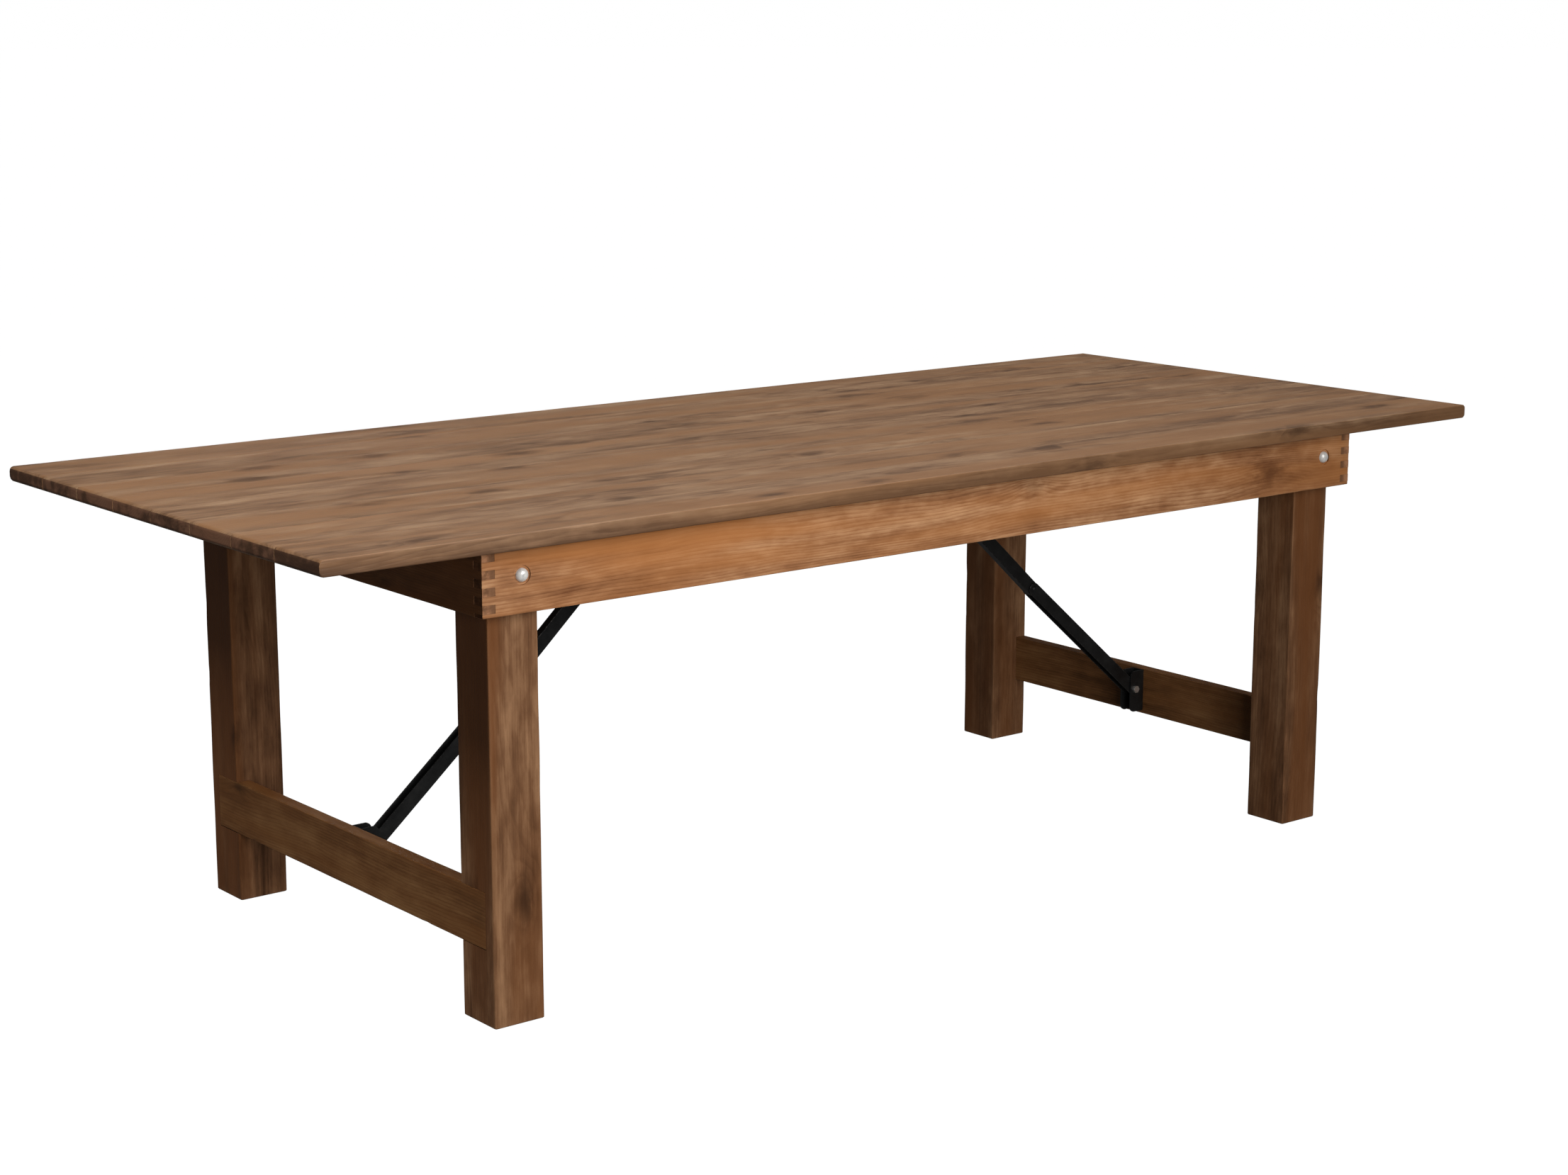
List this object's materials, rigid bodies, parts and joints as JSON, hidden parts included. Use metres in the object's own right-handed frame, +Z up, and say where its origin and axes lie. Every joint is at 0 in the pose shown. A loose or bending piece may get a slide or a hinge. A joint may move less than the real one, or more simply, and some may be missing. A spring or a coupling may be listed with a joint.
{
  "type": "folding picnic table",
  "caption": "Rectangular plank-topped table on an apron frame, with leg pairs that fold flat inward, each held by a stretcher and a folding steel brace.",
  "frame": {"origin": "on the floor under the middle of the table top", "axes": "+X along the table's length, +Y across it towards the back long side, +Z up"},
  "size_m": [2.438, 1.016, 0.762],
  "materials": {
    "top_wood": "stained pine, satin, with grain, knots and light wear",
    "apron_wood": "stained pine, satin",
    "batten_wood": "stained pine, matt",
    "leg_wood": "dark stained pine, satin",
    "black_steel": "black powder coat, satin",
    "zinc_steel": "zinc plated, satin",
    "spacer_plastic": "black nylon"
  },
  "bodies": {
    "table_top": {"apron_back": "apron_wood", "apron_front": "apron_wood", "apron_left": "apron_wood", "apron_right": "apron_wood", "batten_screws_left": "zinc_steel", "batten_screws_right": "zinc_steel", "cross_batten_left": "batten_wood", "cross_batten_right": "batten_wood", "leg_spacers_left": "spacer_plastic", "leg_spacers_right": "spacer_plastic", "pivot_bolt_back_left": "zinc_steel", "pivot_bolt_back_right": "zinc_steel", "pivot_bolt_front_left": "zinc_steel", "pivot_bolt_front_right": "zinc_steel", "pivot_nuts_left": "zinc_steel", "pivot_nuts_right": "zinc_steel", "pivot_washers_left": "zinc_steel", "pivot_washers_right": "zinc_steel", "top_board_1": "top_wood", "top_board_2": "top_wood", "top_board_3": "top_wood", "top_board_4": "top_wood", "top_board_5": "top_wood", "top_board_6": "top_wood", "top_board_7": "top_wood", "top_board_8": "top_wood", "upper_bracket_left": "black_steel", "upper_bracket_right": "black_steel", "upper_bracket_screws_left": "black_steel", "upper_bracket_screws_right": "black_steel", "upper_pin_left": "black_steel", "upper_pin_right": "black_steel"},
    "leg_frame_left": {"leg_back_left": "leg_wood", "leg_front_left": "leg_wood", "lower_bracket_left": "black_steel", "lower_bracket_screws_left": "black_steel", "lower_pin_left": "zinc_steel", "stretcher_left": "leg_wood"},
    "upper_arm_left": {"upper_arm_left": "black_steel"},
    "lower_arm_left": {"elbow_rivets_left": "black_steel", "lower_bar_back_left": "black_steel", "lower_bar_front_left": "black_steel"},
    "leg_frame_right": {"leg_back_right": "leg_wood", "leg_front_right": "leg_wood", "lower_bracket_right": "black_steel", "lower_bracket_screws_right": "black_steel", "lower_pin_right": "zinc_steel", "stretcher_right": "leg_wood"},
    "upper_arm_right": {"upper_arm_right": "black_steel"},
    "lower_arm_right": {"elbow_rivets_right": "black_steel", "lower_bar_back_right": "black_steel", "lower_bar_front_right": "black_steel"}
  },
  "joints": [
    {"name": "leg_frame_left_fold", "type": "hinge", "parent": "table_top", "child": "leg_frame_left", "pos_m": [-0.868, 0, 0.692], "axis": [0, -1, 0], "range_deg": [0, 90]},
    {"name": "upper_arm_left_turn", "type": "hinge", "parent": "table_top", "child": "upper_arm_left", "pos_m": [-0.25, 0, 0.718], "axis": [0, 1, 0], "range_deg": [0, 41.38]},
    {"name": "lower_arm_left_turn", "type": "hinge", "parent": "leg_frame_left", "child": "lower_arm_left", "pos_m": [-0.864, 0, 0.172], "axis": [0, -1, 0], "range_deg": [0, 47.23]},
    {"name": "leg_frame_right_fold", "type": "hinge", "parent": "table_top", "child": "leg_frame_right", "pos_m": [0.868, 0, 0.692], "axis": [0, 1, 0], "range_deg": [0, 90]},
    {"name": "upper_arm_right_turn", "type": "hinge", "parent": "table_top", "child": "upper_arm_right", "pos_m": [0.25, 0, 0.718], "axis": [0, -1, 0], "range_deg": [0, 41.38]},
    {"name": "lower_arm_right_turn", "type": "hinge", "parent": "leg_frame_right", "child": "lower_arm_right", "pos_m": [0.864, 0, 0.172], "axis": [0, 1, 0], "range_deg": [0, 47.23]}
  ],
  "couplings": [
    {"joint": "upper_arm_left_turn", "follows": "leg_frame_left_fold", "ratio": 0.45977},
    {"joint": "lower_arm_left_turn", "follows": "leg_frame_left_fold", "ratio": 0.52472},
    {"joint": "upper_arm_right_turn", "follows": "leg_frame_right_fold", "ratio": 0.45977},
    {"joint": "lower_arm_right_turn", "follows": "leg_frame_right_fold", "ratio": 0.52472}
  ]
}
